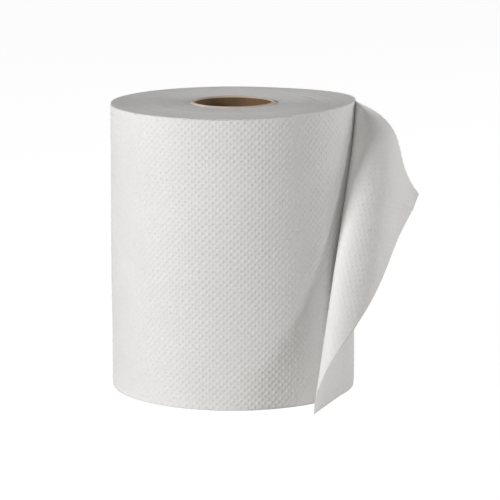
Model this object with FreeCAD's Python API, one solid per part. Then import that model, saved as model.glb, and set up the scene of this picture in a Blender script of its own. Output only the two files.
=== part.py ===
# Paper towel roll: one creped web wound on a kraft tube and standing on its end.
# The last stretch of the web hangs loose at the right and curls open like a leaf.
# Origin at the centre of the bore on the base plane, +Z up, the front towards -Y.
import FreeCAD, Part
import os
from math import cos, radians, sin, tan, tanh

Vec = FreeCAD.Vector

# Tube
bore_radius = 27.5
tube_wall = 1.5
tube_inset = 0.5
tube_rise = 1.0

# Wound web
web_width = 200.0
roll_radius = 85.4
paper_thickness = 0.4
end_bands = 5
end_band_depth = 0.5
end_flat_width = 8.0

# Outer turns that ride up towards the front right, as if cut by a tilted plane
raised_turns = 3
raised_height = 0.3
raised_tilt = 1.75
raised_heading = -23.0

# Loose tail
leave_angle = -20.9
free_length = 70.3
fold_slope = 65.0
fold_radius = 9.5
curl_relax = 58.0
curl_sag = 13.9
sag_reach = 90.0
tail_lift = 2.2
floor_clearance = 0.3
root_depth = 0.8
root_spread = 6.0
root_reach = 10.0
root_sweep = 36.0
fan_foot = 6.0

# How finely the tail is drawn
root_strips = 4
flap_strips = 28
line_points = 9
curl_steps = 24

tube_radius = bore_radius + tube_wall


# The tube, set in at the lower end and standing a little above the upper end
def paper_core():
    length = web_width + tube_rise - tube_inset
    foot = Vec(0, 0, tube_inset)
    outside = Part.makeCylinder(tube_radius, length, foot)
    bore = Part.makeCylinder(bore_radius, length, foot)
    return outside.cut(bore)


# Height of the turns' edges below the end plane, band by band
def band_depth(number):
    return end_band_depth * (0.5 + 0.5 * sin(2.4 * number + 0.4))


# Section of the wound web. Its upper end steps up and down where bands of turns have slipped,
# and its lower end is pressed in around the tube, so it rests on the outer turns.
def web_section():
    flat_edge = roll_radius - end_flat_width
    step = (flat_edge - tube_radius) / end_bands
    top = []
    for number in range(end_bands):
        height = web_width - band_depth(number)
        inner = tube_radius + number * step
        top += [Vec(inner, 0, height), Vec(inner + step, 0, height)]
    top += [Vec(flat_edge, 0, web_width), Vec(roll_radius, 0, web_width)]
    base = [Vec(roll_radius, 0, 0), Vec(flat_edge, 0, 0), Vec(flat_edge, 0, end_band_depth)]
    return top + base + [Vec(tube_radius, 0, end_band_depth)]


def wound_web():
    corners = web_section()
    face = Part.Face(Part.makePolygon(corners + corners[:1]))
    return face.revolve(Vec(0, 0, 0), Vec(0, 0, 1), 360)


# The outermost turns stand above the end, highest at the front right
def raised_rim():
    wall = raised_turns * paper_thickness
    reach = 3 * roll_radius
    foot = Vec(0, 0, web_width - 1)
    ring = Part.makeCylinder(roll_radius, 20, foot).cut(Part.makeCylinder(roll_radius - wall, 20, foot))
    above = Part.makeBox(2 * reach, 2 * reach, reach, Vec(-reach, -reach, 0))
    above.rotate(Vec(0, 0, 0), Vec(0, 1, 0), -raised_tilt)
    above.rotate(Vec(0, 0, 0), Vec(0, 0, 1), raised_heading)
    above.translate(Vec(0, 0, web_width + raised_height))
    return ring.cut(above)


# Point on the roll's skin, or on its tangent plane past the leaving line,
# with the two directions there: onward along the web and out of the roll
def skin_point(along, up, depth):
    turned = radians(leave_angle) - min(along, 0) / roll_radius
    onward = Vec(sin(turned), -cos(turned), 0)
    outward = Vec(cos(turned), sin(turned), 0)
    height = floor_clearance + up + tail_lift * (up / web_width) ** 2
    place = outward * (roll_radius + depth) + onward * max(along, 0) + Vec(0, 0, height)
    return place, onward, outward


# Turn of the curling web at a distance past its fold: tight at first, easing off, then opening
def curl_turn(distance):
    return (distance - distance ** 2 / (2 * curl_relax)) / fold_radius


# Point of the tail at a place on the flat web. The fold runs up from the free bottom corner,
# and beyond it the web curls away from the roll about that slanted line.
def tail_point(along, up, lift):
    slope = radians(fold_slope)
    past_fold = (along - free_length) * sin(slope) + up * cos(slope)
    if past_fold > 0:
        on_fold = up * sin(slope) - (along - free_length) * cos(slope)
        along = free_length - on_fold * cos(slope)
        up = on_fold * sin(slope)
    depth = -root_depth / 2 * (1 - tanh(past_fold / root_spread))
    place, onward, outward = skin_point(along, up, depth)
    across = onward * sin(slope) + Vec(0, 0, cos(slope))
    distance = max(past_fold, 0)
    step = distance / curl_steps
    for number in range(curl_steps):
        turn = curl_turn((number + 0.5) * step)
        place += (across * cos(turn) + outward * sin(turn)) * step
    turn = curl_turn(distance)
    sag = Vec(0, 0, -curl_sag * (distance / sag_reach) ** 2)
    return place + sag + (outward * cos(turn) - across * sin(turn)) * lift


# Where each line across the web meets its bottom edge and its top edge. Paper bends along
# straight lines, so they follow the fold and fan out from the free bottom corner beyond it.
def web_lines():
    first = (-root_reach, -root_reach - root_sweep)
    fold = (free_length - fan_foot, free_length - web_width / tan(radians(fold_slope)))
    last = (free_length, free_length)
    lines = [between(first, fold, number / root_strips) for number in range(root_strips)]
    lines += [between(fold, last, (number / flap_strips) ** 1.3) for number in range(flap_strips + 1)]
    return lines


def between(one, other, share):
    return tuple(a + (b - a) * share for a, b in zip(one, other))


# One such line as a curve on the inner or the outer face of the tail
def tail_curve(low, high, lift):
    points = []
    for number in range(line_points):
        share = number / (line_points - 1)
        points.append(tail_point(low + (high - low) * share, web_width * share, lift))
    curve = Part.BSplineCurve()
    curve.interpolate(points)
    return curve.toShape()


def strip(edge, mate):
    return Part.makeRuledSurface(edge, mate, 1)


# Narrow band of the web's top or bottom edge between two neighbouring lines
def cut_edge(inner, outer, end):
    inside = Part.makeLine(inner[0].Vertexes[end].Point, inner[1].Vertexes[end].Point)
    outside = Part.makeLine(outer[0].Vertexes[end].Point, outer[1].Vertexes[end].Point)
    return strip(inside, outside)


# The tail is closed by its two faces, its cut edges, its free edge and its root inside the roll
def loose_tail():
    inner = [tail_curve(low, high, 0) for low, high in web_lines()]
    outer = [tail_curve(low, high, paper_thickness) for low, high in web_lines()]
    faces = [strip(inner[0], outer[0]), strip(inner[-1], outer[-1])]
    for inside, outside in zip(zip(inner, inner[1:]), zip(outer, outer[1:])):
        faces += [strip(*inside), strip(*outside)]
        faces += [cut_edge(inside, outside, end) for end in (0, 1)]
    shell = Part.makeShell(faces)
    shell.sewShape()
    solid = Part.Solid(shell)
    if solid.Volume < 0:
        solid.reverse()
    return solid


# Wound turns, raised rim and tail are one continuous web
def towel_roll():
    return wound_web().fuse([raised_rim(), loose_tail()])


os.makedirs("parts", exist_ok=True)
for name, shape in (("paper_core", paper_core()), ("towel_roll", towel_roll())):
    solid = shape.Solids[0]
    print(name, "solids", len(shape.Solids), "valid", shape.isValid(), "volume", round(shape.Volume))
    solid.exportStep("parts/" + name + ".step")
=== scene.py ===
from math import cos, pi, radians, sin

import bpy
import numpy as np
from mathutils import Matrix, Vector


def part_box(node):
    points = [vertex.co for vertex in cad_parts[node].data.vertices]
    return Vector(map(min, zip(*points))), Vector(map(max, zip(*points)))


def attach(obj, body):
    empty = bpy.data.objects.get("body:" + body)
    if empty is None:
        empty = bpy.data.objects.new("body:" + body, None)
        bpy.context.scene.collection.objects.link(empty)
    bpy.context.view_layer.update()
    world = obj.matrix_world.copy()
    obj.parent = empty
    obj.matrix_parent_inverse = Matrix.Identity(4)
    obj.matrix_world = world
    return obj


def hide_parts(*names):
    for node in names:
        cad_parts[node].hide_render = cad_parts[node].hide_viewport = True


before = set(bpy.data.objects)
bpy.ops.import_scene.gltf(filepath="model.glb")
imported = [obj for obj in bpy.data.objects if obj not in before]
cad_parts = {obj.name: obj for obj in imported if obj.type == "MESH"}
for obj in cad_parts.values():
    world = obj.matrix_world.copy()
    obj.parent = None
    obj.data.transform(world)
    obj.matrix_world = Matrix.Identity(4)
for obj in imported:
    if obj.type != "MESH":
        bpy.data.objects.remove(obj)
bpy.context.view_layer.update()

# Everything is in metres. The roll stands on its end at the origin, with its front towards -Y.
coreLow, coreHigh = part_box("paper_core")
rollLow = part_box("towel_roll")[0]
rollRadius = -rollLow[0]
coreRadius = coreHigh[0]
webWidth = 0.200
weldGap = 0.000002      # points nearer than this become one
plyEdge = (0.12, 0.88)  # where the flat part of a cut ply starts and ends, as shares of its thickness


def between(low, high, share):
    return low + (high - low) * share


def smoothStep(value, low, high):
    share = np.clip((value - low) / (high - low), 0, 1)
    return share * share * (3 - 2 * share)


waves = {
    "count": 10,
    "spread": (0.6, 1.5),  # how far their sizes lie from the one asked for
    "highest": 4.5,
}


def softWaves(points, size, seed):  # smooth uneven field from about -1 to 1
    rng = np.random.default_rng(seed)
    total = 0
    for wave in range(waves["count"]):
        heading = rng.normal(size=3)
        heading *= 2 * pi / size / np.linalg.norm(heading) * rng.uniform(*waves["spread"])
        total = total + np.sin(points @ heading + rng.uniform(0, 2 * pi))
    return total / waves["highest"]


# Mesh making: pieces are grids of points, joined into closed shells

def newShell():
    return {"points": [], "faces": [], "web": [], "slots": [], "count": 0}


def addGrid(shell, points, web, slot, around=False, flip=False):
    rows, columns = points.shape[:2]
    across = columns if around else columns - 1
    row, column = np.meshgrid(np.arange(rows - 1), np.arange(across), indexing="ij")
    corners = [(row, column), (row, column + 1), (row + 1, column + 1), (row + 1, column)]
    if flip:
        corners.reverse()
    faces = np.stack([first * columns + second % columns for first, second in corners], -1)
    flat = np.stack([web[first, second] for first, second in corners], -2)
    shell["faces"].append(faces.reshape(-1, 4) + shell["count"])
    shell["web"].append(flat.reshape(-1, 2))
    shell["points"].append(points.reshape(-1, 3))
    shell["slots"].append(np.full(faces.shape[0] * faces.shape[1], slot))
    shell["count"] += rows * columns


def turnedPoints(profile, angle):  # a profile of radii and heights, swept round the roll
    radius = np.stack([item[0] for item in profile])
    height = np.stack([item[1] for item in profile])
    return np.stack([radius * np.cos(angle), radius * np.sin(angle), height], -1)


def makePiece(name, shell, materials):
    mesh = bpy.data.meshes.new(name)
    faces = np.concatenate(shell["faces"])
    mesh.from_pydata(np.concatenate(shell["points"]).tolist(), [], faces.tolist())
    layer = mesh.uv_layers.new(name="web")
    layer.data.foreach_set("uv", np.concatenate(shell["web"]).astype(np.float32).ravel())
    mesh.polygons.foreach_set("material_index", np.concatenate(shell["slots"]).astype(np.int32))
    mesh.polygons.foreach_set("use_smooth", np.ones(len(faces), bool))
    for material in materials:
        mesh.materials.append(material)
    piece = bpy.data.objects.new(name, mesh)
    bpy.context.scene.collection.objects.link(piece)
    joiner = piece.modifiers.new("weld", "WELD")
    joiner.merge_threshold = weldGap
    mesh.update()
    return piece


# Embossing: a staggered lattice of small raised dots that runs on through the tail

dots = {
    "across": 112,       # dots in each row round the roll
    "rowShare": 0.4911,  # distance between rows, as a share of that between dots in a row
    "height": 0.00050,
    "radius": 0.00145,
    "domed": 1.5,
    "slack": 0.45,       # how much the dots differ
    "scatter": (12.9898, 78.233),  # which of them are lower, from their place across and up
    "meshSteps": 4,      # mesh faces from dot to dot, so that each dot has a point of the mesh at its top
}
dots["pitch"] = 2 * pi * rollRadius / dots["across"]
dots["row"] = dots["pitch"] * dots["rowShare"]
dots["meshRows"] = int(round(webWidth / dots["row"] * 2)) + 1


def dotHeight(along, up):
    acrossScatter, upScatter = dots["scatter"]
    best = np.zeros(np.broadcast(along, up).shape)
    nearest = np.round(up / dots["row"])
    for step in (-1, 0, 1):
        row = nearest + step
        stagger = 0.5 * (row % 2)
        column = np.round(along / dots["pitch"] - stagger) + stagger
        gap = np.hypot(along - column * dots["pitch"], up - row * dots["row"]) / dots["radius"]
        worn = 1 - dots["slack"] * (0.5 + 0.5 * np.sin(column * acrossScatter + row * upScatter))
        best = np.maximum(best, worn * np.clip(1 - gap * gap, 0, 1) ** dots["domed"])
    return best * dots["height"]


# The outer turns: embossed skin, and a rim that rides up towards the front right

outerTurns = {
    "plies": 3,
    "ply": 0.0004,
    "rise": 0.0030,       # how far the rim stands up where it is highest
    "heading": -15.0,     # where that is, in degrees
    "leaveAngle": -20.9,  # where the tail leaves the roll, in degrees
    "edgeFade": 0.0012,   # the dots fade out this near to the cut edges
    "lumps": 0.00022,
    "lumpSize": 0.055,
    "lumpSeed": 3,
    "calm": (0.1, 0.4),   # the lumps fade out this near to the tail, in radians
    "plyStep": 0.05,      # share of the rise that each ply inwards loses
    "plyDrop": 0.00002,   # and how much lower it lies everywhere
    "plyRound": 0.00003,
    "rimWall": 0.003,
}


def rimHeight(angle):
    facing = np.cos(angle - radians(outerTurns["heading"]))
    return webWidth + outerTurns["rise"] * np.maximum(facing, 0) ** 2


def makeOuterTurns(materials):
    values = outerTurns
    columns, rows = dots["across"] * dots["meshSteps"], dots["meshRows"]
    leaving = radians(values["leaveAngle"])
    angle = leaving + np.linspace(0, 2 * pi, columns, endpoint=False)
    along = (leaving - angle) * rollRadius
    top = rimHeight(angle)
    up = np.linspace(0, webWidth, rows)
    share = (up / webWidth)[:, None]
    height = share * top[None, :]
    ring = np.stack([np.cos(angle), np.sin(angle)], -1)

    def place(radius, level):
        flat = ring * np.broadcast_to(radius, angle.shape)[:, None]
        return np.concatenate([flat, np.broadcast_to(level, angle.shape)[:, None]], -1)

    skin = np.stack([place(rollRadius, height[row]) for row in range(rows)])
    edge = values["edgeFade"]
    fade = smoothStep(up, 0, edge) * (1 - smoothStep(up, webWidth - edge, webWidth))
    lift = dotHeight(along[None, :], up[:, None]) * fade[:, None]
    fromTail = np.abs(np.angle(np.exp(1j * (angle - leaving))))
    lumps = values["lumps"] * smoothStep(fromTail, *values["calm"])
    lift = lift + softWaves(skin, values["lumpSize"], values["lumpSeed"]) * lumps[None, :]
    skin[..., :2] += ring[None] * lift[..., None]

    rim = []
    for ply in range(values["plies"]):
        low = webWidth + (top - webWidth) * (1 - values["plyStep"] * ply) - values["plyDrop"] * ply
        for share, dip in zip(plyEdge, (0.0, values["plyRound"])):
            rim.append(place(rollRadius - values["ply"] * (ply + share), low - dip))
    inside = rollRadius - values["ply"] * values["plies"]
    rim.append(place(inside, webWidth - values["rimWall"]))
    rim.append(place(inside, 0.0))
    points = np.concatenate([skin, np.stack(rim), skin[:1]])
    web = np.zeros((len(points), columns + 1, 2))
    web[..., 0] = -np.arange(columns + 1) * 2 * pi * rollRadius / columns
    web[..., 1] = np.concatenate([up, webWidth + values["ply"] * np.arange(1, len(rim) + 2)])[:, None]
    shell = newShell()
    addGrid(shell, points[:rows], web[:rows], 0, True)
    addGrid(shell, points[rows - 1:], web[rows - 1:], 1, True)
    return makePiece("outer_turns", shell, materials)


# The wound turns seen on the ends: each stands a little higher or lower than the next,
# and bands of them have slipped together

woundTurns = {
    "turn": 0.0003,
    "columns": 150,
    "edgeLift": 0.00005,
    "seed": 11,
    "slipTurns": 12,        # turns that slip together
    "ridge": (0.28, 0.72),  # where a turn's edge starts and ends, as shares of its pitch
    "gapDepth": 0.00004,
    "bands": 5,
    "bandDepth": 0.0003,
    "bandChange": 2.4,      # how the depths of the bands differ, as steps of a sine
    "bandStart": 0.4,
    "bandBlend": 0.0035,
    "flatWidth": 0.008,
    "wallFoot": 0.0008,
    "wallTop": 0.0012,
    "pressed": 0.0005,      # how far the lower end is pressed in around the tube
    "lowerStep": 0.0012,
    "lowerRidge": 0.00008,
    "rampWidth": 0.022,     # the turns inside the raised rim climb towards it
    "rampShare": 0.88,
}


def bandLevel(radius):
    values = woundTurns
    flatEdge = rollRadius - values["flatWidth"]
    step = (flatEdge - coreRadius) / values["bands"]
    blend = values["bandBlend"]
    level = np.zeros_like(radius)
    for band in range(values["bands"]):
        depth = values["bandDepth"] * (0.5 + 0.5 * sin(values["bandChange"] * band + values["bandStart"]))
        start = coreRadius + band * step
        inside = smoothStep(radius, start - blend, start + blend) if band else 1.0
        after = smoothStep(radius, start + step - blend, start + step + blend)
        level = level - depth * inside * (1 - after)
    return level


def makeWoundTurns(materials):
    values = woundTurns
    outside = rollRadius - outerTurns["ply"] * outerTurns["plies"]
    angle = np.linspace(0, 2 * pi, values["columns"], endpoint=False)
    rng = np.random.default_rng(values["seed"])
    count = int((outside - coreRadius) / values["turn"])
    pitch = (outside - coreRadius) / count
    lift = rng.normal(0, values["edgeLift"], count + 2)
    slips = np.arange(0, count + 2 + values["slipTurns"], values["slipTurns"])
    lift += np.interp(np.arange(count + 2), slips, rng.normal(0, values["edgeLift"], len(slips)))
    turned = angle / (2 * pi)
    rise = (rimHeight(angle) - webWidth) * values["rampShare"]
    rings = []
    ridgeStart, ridgeEnd = values["ridge"]
    for turn in range(count):
        start = coreRadius + turn * pitch
        edge = between(lift[turn], lift[turn + 1], turned)
        for share, sunk in ((ridgeStart, 0.0), (ridgeEnd, 0.0), (1.0, values["gapDepth"])):
            if share == ridgeEnd and turn % 2:
                continue
            radius = np.full_like(angle, start + share * pitch)
            ramp = np.clip(1 - (outside - radius) / values["rampWidth"], 0, 1) ** 2 * rise
            rings.append((radius, webWidth + bandLevel(radius) + ramp + edge - sunk))
    wall = np.full_like(angle, coreRadius)
    edge = np.full_like(angle, outside)
    foot = np.full_like(angle, values["wallFoot"])
    head = np.full_like(angle, webWidth - values["wallTop"])
    profile = [(wall, foot), (wall, head)] + rings + [(edge, head), (edge, foot)]
    margin = values["lowerStep"] / 2
    lower = np.arange(outside - margin, coreRadius + margin, -values["lowerStep"])
    for number, radius in enumerate(lower):
        ring = np.full_like(angle, radius)
        pressed = values["pressed"] * (radius < rollRadius - values["flatWidth"])
        profile.append((ring, 0 * ring + pressed + values["lowerRidge"] * (number % 2)))
    profile.append(profile[0])
    full = np.linspace(0, 2 * pi, values["columns"] + 1)
    web = np.zeros((len(profile), values["columns"] + 1, 2))
    web[..., 0] = full[None, :] * rollRadius
    web[..., 1] = np.stack([item[0] for item in profile])[:, :1]
    shell = newShell()
    addGrid(shell, turnedPoints(profile, angle), web, 0, True, flip=True)
    return makePiece("wound_turns", shell, materials)


# The loose tail: the same web, leaving the roll and curling open about a slanted fold

tail = {
    "freeLength": 0.0703,
    "foldSlope": 65.0,
    "foldRadius": 0.0095,
    "curlRelax": 0.058,
    "curlSag": 0.0139,
    "sagReach": 0.090,
    "lift": 0.0022,
    "floorGap": 0.0003,
    "rootDepth": 0.0008,
    "rootSpread": 0.006,
    "rootReach": 0.046,
    "curlSteps": 32,
    "thickness": 0.0004,
    "buckle": 0.0005,
    "buckleSize": 0.06,
    "buckleSeed": 8,
    "buckleStart": (0.01, 0.05),  # the buckle grows between these distances past the fold
}


def skinPoint(along, up, depth):
    turned = radians(outerTurns["leaveAngle"]) - np.minimum(along, 0) / rollRadius
    none = np.zeros_like(turned)
    onward = np.stack([np.sin(turned), -np.cos(turned), none], -1)
    outward = np.stack([np.cos(turned), np.sin(turned), none], -1)
    place = outward * (rollRadius + depth)[..., None] + onward * np.maximum(along, 0)[..., None]
    place[..., 2] = tail["floorGap"] + up + tail["lift"] * (up / webWidth) ** 2
    return place, onward, outward


def curlTurn(distance):
    return (distance - distance ** 2 / (2 * tail["curlRelax"])) / tail["foldRadius"]


def tailPoint(along, up, lift):
    slope = radians(tail["foldSlope"])
    pastFold = (along - tail["freeLength"]) * sin(slope) + up * cos(slope)
    onFold = up * sin(slope) - (along - tail["freeLength"]) * cos(slope)
    curled = pastFold > 0
    footAlong = np.where(curled, tail["freeLength"] - onFold * cos(slope), along)
    footUp = np.where(curled, onFold * sin(slope), up)
    depth = -tail["rootDepth"] / 2 * (1 - np.tanh(pastFold / tail["rootSpread"]))
    place, onward, outward = skinPoint(footAlong, footUp, depth)
    across = onward * sin(slope) + np.array([0, 0, cos(slope)])
    distance = np.maximum(pastFold, 0)
    steps = tail["curlSteps"]
    for number in range(steps):
        turn = curlTurn(distance * (number + 0.5) / steps)[..., None]
        place = place + (across * np.cos(turn) + outward * np.sin(turn)) * (distance / steps)[..., None]
    turn = curlTurn(distance)[..., None]
    place[..., 2] -= tail["curlSag"] * (distance / tail["sagReach"]) ** 2
    facing = outward * np.cos(turn) - across * np.sin(turn)
    buckle = tail["buckle"] * smoothStep(distance, *tail["buckleStart"])
    lift = lift + softWaves(place, tail["buckleSize"], tail["buckleSeed"]) * buckle
    return place + facing * lift[..., None]


def makeLooseTail(materials):
    step = dots["pitch"] / dots["meshSteps"]
    along = np.arange(-round(tail["rootReach"] / step), tail["freeLength"] / step) * step
    along = np.append(along, tail["freeLength"])
    up = np.linspace(0, webWidth, dots["meshRows"])
    along, up = np.meshgrid(along, up)
    emboss = dotHeight(along, up)
    outer = tailPoint(along, up, tail["thickness"] + emboss)
    inner = tailPoint(along, up, emboss)
    web = np.stack([along, up], -1)
    shell = newShell()
    addGrid(shell, outer, web, 0, flip=True)
    addGrid(shell, inner, web, 1)
    for pair, flat, turnOver in (
        ((inner[0], outer[0]), web[0], True),
        ((inner[-1], outer[-1]), web[-1], False),
        ((inner[:, 0], outer[:, 0]), web[:, 0], False),
        ((inner[:, -1], outer[:, -1]), web[:, -1], True),
    ):
        addGrid(shell, np.stack(pair), np.stack([flat, flat]), 2, flip=turnOver)
    return makePiece("loose_tail", shell, materials)


# The tube: kraft board wound in a helix, with the seam of its inner ply showing in the bore

tube = {
    "columns": 240,
    "rows": 150,
    "boreRadius": 0.0275,
    "seamLead": 0.105,
    "seamWidth": 0.0011,
    "seamDepth": 0.00022,
    "plies": 3,
    "plyGap": 0.00006,
    "lipDepth": 0.0012,  # the cut leaves a pale lip a little way into the bore
    "lipStart": 0.0001,
    "lipFlare": 0.0003,
    "lipRows": 5,
    "edgeRound": 0.0002,
    "webStep": 0.001,
}


def makeTube(materials):
    values = tube
    low, high = coreLow[2], coreHigh[2]
    angle = np.linspace(0, 2 * pi, values["columns"], endpoint=False)
    lip, lipRows = values["lipDepth"], values["lipRows"]
    nearEnd = np.linspace(values["lipStart"], lip, lipRows)[:-1]
    level = np.concatenate([
        high - nearEnd, np.linspace(high - lip, low + lip, values["rows"]), low + nearEnd[::-1]])
    flare = values["lipFlare"] * (1 - smoothStep(np.minimum(high - level, level - low), 0, lip))
    turns = angle[None, :] / (2 * pi) + level[:, None] / values["seamLead"]
    offSeam = np.abs(turns - np.round(turns)) * values["seamLead"] / values["seamWidth"]
    bore = values["boreRadius"] + flare[:, None] + values["seamDepth"] * np.exp(-offSeam ** 2)
    profile = [(bore[row], np.full_like(angle, item)) for row, item in enumerate(level)]
    rimStart = values["boreRadius"] + values["lipFlare"]
    wall = coreRadius - rimStart
    lowerRim, upperRim = [], []
    for ply in range(values["plies"]):
        for share, dip in zip(plyEdge, (0.0, values["plyGap"])):
            radius = np.full_like(angle, rimStart + wall * (ply + share) / values["plies"])
            lowerRim.append((radius, 0 * angle + low + dip))
            upperRim.append((radius, 0 * angle + high - dip))
    outside, rounding = np.full_like(angle, coreRadius), values["edgeRound"]
    profile += lowerRim + [(outside, 0 * angle + low + rounding), (outside, 0 * angle + high - rounding)]
    profile += upperRim[::-1] + profile[:1]
    points = turnedPoints(profile, angle)
    span = np.linspace(0, 2 * pi * coreRadius, values["columns"] + 1)
    web = np.zeros(points.shape[:1] + (values["columns"] + 1, 2))
    web[..., 0] = span[None, :]
    web[..., 1] = np.cumsum(np.full(len(points), values["webStep"]))[:, None]
    web[: len(level), :, 1] = level[:, None]
    shell = newShell()
    boreEnd = lipRows - 1 + values["rows"]
    addGrid(shell, points[:lipRows], web[:lipRows], 1, True)
    addGrid(shell, points[lipRows - 1:boreEnd], web[lipRows - 1:boreEnd], 0, True)
    addGrid(shell, points[boreEnd - 1:], web[boreEnd - 1:], 1, True)
    return makePiece("core_tube", shell, materials)


# Materials

def addNode(tree, kind, links=(), **values):
    node = tree.nodes.new(kind)
    for name, value in values.items():
        setattr(node, name, value)
    for socket, source in links:
        if hasattr(source, "is_output"):
            tree.links.new(source, node.inputs[socket])
        else:
            node.inputs[socket].default_value = source
    return node


def newGroup(name, inputs, outputs):
    group = bpy.data.node_groups.new(name, "ShaderNodeTree")
    for label, kind, value in inputs:
        socket = group.interface.new_socket(name=label, in_out="INPUT", socket_type=kind)
        socket.default_value = value
    for label, kind in outputs:
        group.interface.new_socket(name=label, in_out="OUTPUT", socket_type=kind)
    return group, group.nodes.new("NodeGroupInput"), group.nodes.new("NodeGroupOutput")


# Uneven tone of pressed fibres: soft clouds and small specks between two colours
def makeFibreTone():
    group, given, result = newGroup(
        "fibreTone",
        [("Light", "NodeSocketColor", (0.8, 0.8, 0.8, 1)), ("Dark", "NodeSocketColor", (0.7, 0.7, 0.7, 1)),
         ("Cloud Size", "NodeSocketFloat", 40.0), ("Speck Size", "NodeSocketFloat", 900.0),
         ("Specks", "NodeSocketFloat", 0.3)],
        [("Color", "NodeSocketColor"), ("Mask", "NodeSocketFloat")],
    )
    place = addNode(group, "ShaderNodeTexCoord")
    clouds = addNode(group, "ShaderNodeTexNoise", [
        ("Vector", place.outputs["Object"]), ("Scale", given.outputs["Cloud Size"]), ("Detail", 4.0)])
    specks = addNode(group, "ShaderNodeTexNoise", [
        ("Vector", place.outputs["Object"]), ("Scale", given.outputs["Speck Size"]), ("Detail", 2.0)])
    both = addNode(group, "ShaderNodeMix", [
        ("Factor", given.outputs["Specks"]), ("A", clouds.outputs["Fac"]), ("B", specks.outputs["Fac"])],
        data_type="FLOAT")
    spread = addNode(group, "ShaderNodeMapRange", [
        ("Value", both.outputs["Result"]), ("From Min", 0.32), ("From Max", 0.68)])
    tone = addNode(group, "ShaderNodeMix", [
        ("Factor", spread.outputs["Result"]), (6, given.outputs["Dark"]), (7, given.outputs["Light"])],
        data_type="RGBA")
    group.links.new(tone.outputs[2], result.inputs["Color"])
    group.links.new(spread.outputs["Result"], result.inputs["Mask"])
    return group


# Fine relief of creped paper: tiny ridges across the web, broken up by loose fibres
def makeCreping():
    group, given, result = newGroup(
        "creping",
        [("Ridge Size", "NodeSocketFloat", 1800.0), ("Ridge Stretch", "NodeSocketFloat", 0.22),
         ("Fibre Size", "NodeSocketFloat", 2600.0), ("Fibres", "NodeSocketFloat", 0.5)],
        [("Height", "NodeSocketFloat")],
    )
    web = addNode(group, "ShaderNodeUVMap", uv_map="web")
    stretch = addNode(group, "ShaderNodeCombineXYZ", [
        ("X", 1.0), ("Y", given.outputs["Ridge Stretch"]), ("Z", 1.0)])
    squeezed = addNode(group, "ShaderNodeVectorMath", [
        (0, web.outputs["UV"]), (1, stretch.outputs["Vector"])], operation="MULTIPLY")
    ridges = addNode(group, "ShaderNodeTexNoise", [
        ("Vector", squeezed.outputs["Vector"]), ("Scale", given.outputs["Ridge Size"]), ("Detail", 2.0)])
    fibres = addNode(group, "ShaderNodeTexNoise", [
        ("Vector", web.outputs["UV"]), ("Scale", given.outputs["Fibre Size"]), ("Detail", 3.0)])
    both = addNode(group, "ShaderNodeMix", [
        ("Factor", given.outputs["Fibres"]), ("A", ridges.outputs["Fac"]), ("B", fibres.outputs["Fac"])],
        data_type="FLOAT")
    group.links.new(both.outputs["Result"], result.inputs["Height"])
    return group


# The dot lattice as a height, 1 on a dot and 0 between, on the same places as the mesh's dots
def makeEmbossing():
    pitch, row = dots["pitch"], dots["row"]
    group, given, result = newGroup(
        "embossing",
        [("Dot Radius", "NodeSocketFloat", dots["radius"]), ("Wear", "NodeSocketFloat", dots["slack"])],
        [("Height", "NodeSocketFloat")],
    )
    web = addNode(group, "ShaderNodeUVMap", uv_map="web")
    even = addNode(group, "ShaderNodeVectorMath", [
        (0, web.outputs["UV"]), (1, (pitch / 2, row, 1)), (2, (-pitch / 2, -row, -1))], operation="WRAP")
    wrapped = addNode(group, "ShaderNodeVectorMath", [
        (0, web.outputs["UV"]), (1, (pitch, row * 2, 1)), (2, (0, 0, -1))], operation="WRAP")
    odd = addNode(group, "ShaderNodeVectorMath", [
        (0, wrapped.outputs["Vector"]), (1, (pitch / 2, row, 0))], operation="SUBTRACT")
    fromEven = addNode(group, "ShaderNodeVectorMath", [(0, even.outputs["Vector"])], operation="LENGTH")
    fromOdd = addNode(group, "ShaderNodeVectorMath", [(0, odd.outputs["Vector"])], operation="LENGTH")
    nearest = addNode(group, "ShaderNodeMath", [
        (0, fromEven.outputs["Value"]), (1, fromOdd.outputs["Value"])], operation="MINIMUM")
    dome = addNode(group, "ShaderNodeMapRange", [
        ("Value", nearest.outputs[0]), ("From Min", given.outputs["Dot Radius"]), ("From Max", 0.0)],
        interpolation_type="SMOOTHSTEP")
    uneven = addNode(group, "ShaderNodeTexNoise", [("Vector", web.outputs["UV"]), ("Scale", 230.0)])
    worn = addNode(group, "ShaderNodeMath", [
        (0, uneven.outputs["Fac"]), (1, given.outputs["Wear"])], operation="MULTIPLY")
    left = addNode(group, "ShaderNodeMath", [(0, 1.0), (1, worn.outputs[0])], operation="SUBTRACT")
    height = addNode(group, "ShaderNodeMath", [
        (0, dome.outputs["Result"]), (1, left.outputs[0])], operation="MULTIPLY")
    group.links.new(height.outputs[0], result.inputs["Height"])
    return group


def placeGroup(tree, group, **values):
    node = tree.nodes.new("ShaderNodeGroup")
    node.node_tree = group
    for name, value in values.items():
        node.inputs[name.replace("_", " ")].default_value = value
    return node


def newMaterial(name, roughness, specular):
    material = bpy.data.materials.new(name)
    material.use_nodes = True
    shader = material.node_tree.nodes["Principled BSDF"]
    shader.inputs["Roughness"].default_value = roughness
    shader.inputs["Specular IOR Level"].default_value = specular
    return material, material.node_tree, shader


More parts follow.
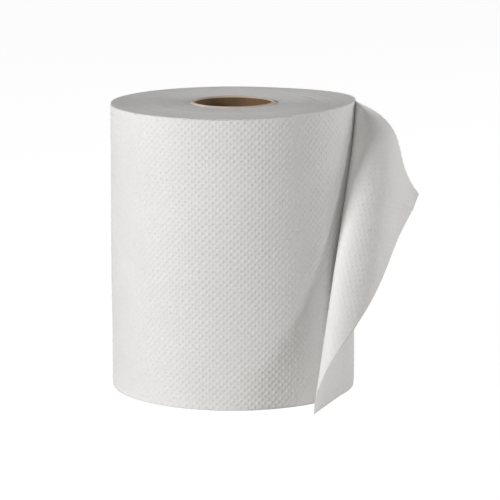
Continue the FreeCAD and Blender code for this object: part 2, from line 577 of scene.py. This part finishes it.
def paperMaterial(name, groups, light, dark, relief, dotRelief=0.0, **creping):
    material, tree, shader = newMaterial(name, roughness=0.92, specular=0.2)
    tone = placeGroup(tree, groups["tone"], Light=light, Dark=dark,
                      Cloud_Size=28.0, Speck_Size=700.0, Specks=0.45)
    crepe = placeGroup(tree, groups["creping"], **creping)
    bump = addNode(tree, "ShaderNodeBump", [("Height", crepe.outputs["Height"]), ("Distance", relief)])
    if dotRelief:
        emboss = placeGroup(tree, groups["embossing"])
        bump = addNode(tree, "ShaderNodeBump", [
            ("Height", emboss.outputs["Height"]), ("Distance", dotRelief),
            ("Normal", bump.outputs["Normal"])])
    tree.links.new(tone.outputs["Color"], shader.inputs["Base Color"])
    tree.links.new(bump.outputs["Normal"], shader.inputs["Normal"])
    return material


def boardMaterial(name, groups, light, dark, relief):
    material, tree, shader = newMaterial(name, roughness=0.85, specular=0.25)
    tone = placeGroup(tree, groups["tone"], Light=light, Dark=dark,
                      Cloud_Size=60.0, Speck_Size=1200.0, Specks=0.5)
    bump = addNode(tree, "ShaderNodeBump", [("Height", tone.outputs["Mask"]), ("Distance", relief)])
    tree.links.new(tone.outputs["Color"], shader.inputs["Base Color"])
    tree.links.new(bump.outputs["Normal"], shader.inputs["Normal"])
    return material


def makeMaterials():
    groups = {"tone": makeFibreTone(), "creping": makeCreping(), "embossing": makeEmbossing()}
    made = {}
    made["outside"] = paperMaterial(
        "towel_outside", groups, (0.88, 0.875, 0.873, 1), (0.84, 0.835, 0.831, 1),
        relief=0.00016, dotRelief=0.00036, Ridge_Size=1500.0, Fibres=0.45)
    made["inside"] = paperMaterial(
        "towel_inside", groups, (0.93, 0.925, 0.922, 1), (0.87, 0.864, 0.859, 1),
        relief=0.00034, dotRelief=0.00032, Ridge_Size=1100.0, Fibres=0.65)
    made["edges"] = paperMaterial(
        "towel_cut_edges", groups, (0.88, 0.875, 0.868, 1), (0.81, 0.805, 0.796, 1),
        relief=0.00010, Ridge_Size=900.0, Fibres=0.7)
    made["board"] = boardMaterial(
        "kraft_board", groups, (0.235, 0.15, 0.084, 1), (0.16, 0.097, 0.05, 1), relief=0.00010)
    made["boardEdge"] = boardMaterial(
        "kraft_cut_edge", groups, (0.72, 0.63, 0.55, 1), (0.60, 0.50, 0.42, 1), relief=0.00012)
    return made


# Stage, light and camera

studio = {
    "ambient": 0.02,
    "floorSize": 6.0,
    "floorColor": (0.92, 0.90, 0.88, 1),
    "floorGlow": 0.955,
    "floorShade": 0.14,
    "middle": (0.0, 0.0, 0.1),
    "lampDistance": 2.4,
    "warmLight": (1.0, 0.86, 0.68),
}
lamps = {  # heading and height are in degrees, seen from the middle, at which all of them are aimed
    "left_light": {"power": 35.0, "heading": -145.0, "height": 20.0, "size": 0.5, "warmth": 0.0},
    "right_light": {"power": 11.0, "heading": -14.0, "height": 12.0, "size": 0.4, "warmth": 0.0},
    "side_light": {"power": 16.5, "heading": 20.0, "height": 15.0, "size": 1.2, "warmth": 0.0},
    "upper_light": {"power": 7.2, "heading": -90.0, "height": 75.0, "size": 1.2, "warmth": 0.1},
    "front_light": {"power": 4.5, "heading": -100.0, "height": 15.0, "size": 1.2, "warmth": 0.4},
}


# A mask that is 1 where the camera, a mirror or clear glass sees a thing, and 0 for the light it gives off
def seenDirectly(tree):
    path = addNode(tree, "ShaderNodeLightPath")
    direct = addNode(tree, "ShaderNodeMath", [
        (0, path.outputs["Is Camera Ray"]), (1, path.outputs["Is Glossy Ray"])], operation="MAXIMUM")
    clear = addNode(tree, "ShaderNodeMath", [
        (0, direct.outputs[0]), (1, path.outputs["Is Transmission Ray"])], operation="MAXIMUM")
    return clear.outputs[0]


def makeFloor():
    half = studio["floorSize"] / 2
    mesh = bpy.data.meshes.new("floor")
    corners = [(-half, -half, 0), (half, -half, 0), (half, half, 0), (-half, half, 0)]
    mesh.from_pydata(corners, [], [(0, 1, 2, 3)])
    floor = bpy.data.objects.new("floor", mesh)
    bpy.context.scene.collection.objects.link(floor)
    material, tree, shader = newMaterial("studio_floor", roughness=1.0, specular=0.0)
    shader.inputs["Base Color"].default_value = studio["floorColor"]
    seen = addNode(tree, "ShaderNodeBsdfDiffuse", [("Color", (studio["floorShade"],) * 3 + (1,))])
    glow = addNode(tree, "ShaderNodeEmission", [("Strength", studio["floorGlow"])])
    bright = addNode(tree, "ShaderNodeAddShader", [(0, seen.outputs[0]), (1, glow.outputs[0])])
    choice = addNode(tree, "ShaderNodeMixShader", [
        (0, seenDirectly(tree)), (1, shader.outputs[0]), (2, bright.outputs[0])])
    tree.links.new(choice.outputs[0], tree.nodes["Material Output"].inputs["Surface"])
    mesh.materials.append(material)


def makeWorld():
    world = bpy.data.worlds.new("studio")
    world.use_nodes = True
    bpy.context.scene.world = world
    tree = world.node_tree
    backdrop = tree.nodes["Background"]
    backdrop.inputs["Color"].default_value = (1, 1, 1, 1)
    backdrop.inputs["Strength"].default_value = 1.0
    fill = addNode(tree, "ShaderNodeBackground", [("Color", (1, 1, 1, 1)), ("Strength", studio["ambient"])])
    choice = addNode(tree, "ShaderNodeMixShader", [
        (0, seenDirectly(tree)), (1, fill.outputs[0]), (2, backdrop.outputs[0])])
    tree.links.new(choice.outputs[0], tree.nodes["World Output"].inputs["Surface"])


def makeLamp(name, values):
    data = bpy.data.lights.new(name, "AREA")
    data.size = values["size"]
    data.energy = values["power"]
    data.color = [between(1.0, part, values["warmth"]) for part in studio["warmLight"]]
    lamp = bpy.data.objects.new(name, data)
    bpy.context.scene.collection.objects.link(lamp)
    heading, height = radians(values["heading"]), radians(values["height"])
    away = Vector((cos(heading) * cos(height), sin(heading) * cos(height), sin(height)))
    lamp.location = Vector(studio["middle"]) + away * studio["lampDistance"]
    lamp.rotation_euler = away.to_track_quat("Z", "Y").to_euler()
    lamp.visible_camera = False


view = {
    "place": (0.0, -1.88328, 0.458535),
    "pitch": 0.19063,
    "yaw": 0.00628,
    "sensor": 36,
    "lens": 195.84,
    "clip": (0.05, 50),
}


def makeCamera():
    data = bpy.data.cameras.new("camera")
    data.sensor_width = view["sensor"]
    data.lens = view["lens"]
    data.clip_start, data.clip_end = view["clip"]
    camera = bpy.data.objects.new("camera", data)
    bpy.context.scene.collection.objects.link(camera)
    camera.location = view["place"]
    camera.rotation_euler = (pi / 2 - view["pitch"], 0, -view["yaw"])
    bpy.context.scene.camera = camera


bpy.context.scene.view_settings.view_transform = "Standard"
makeCamera()
makeWorld()
makeFloor()
for lampName, lampValues in lamps.items():
    makeLamp(lampName, lampValues)
print("studio ready")

made = makeMaterials()
print("materials ready")

outer = makeOuterTurns([made["outside"], made["edges"]])
wound = makeWoundTurns([made["edges"]])
loose = makeLooseTail([made["outside"], made["inside"], made["edges"]])
core = makeTube([made["board"], made["boardEdge"]])
for piece in (outer, wound, loose):
    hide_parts("towel_roll")
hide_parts("paper_core")
for piece in (outer, wound, loose, core):
    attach(piece, "root")
    print(piece.name, "faces", len(piece.data.polygons))
print("pieces ready")
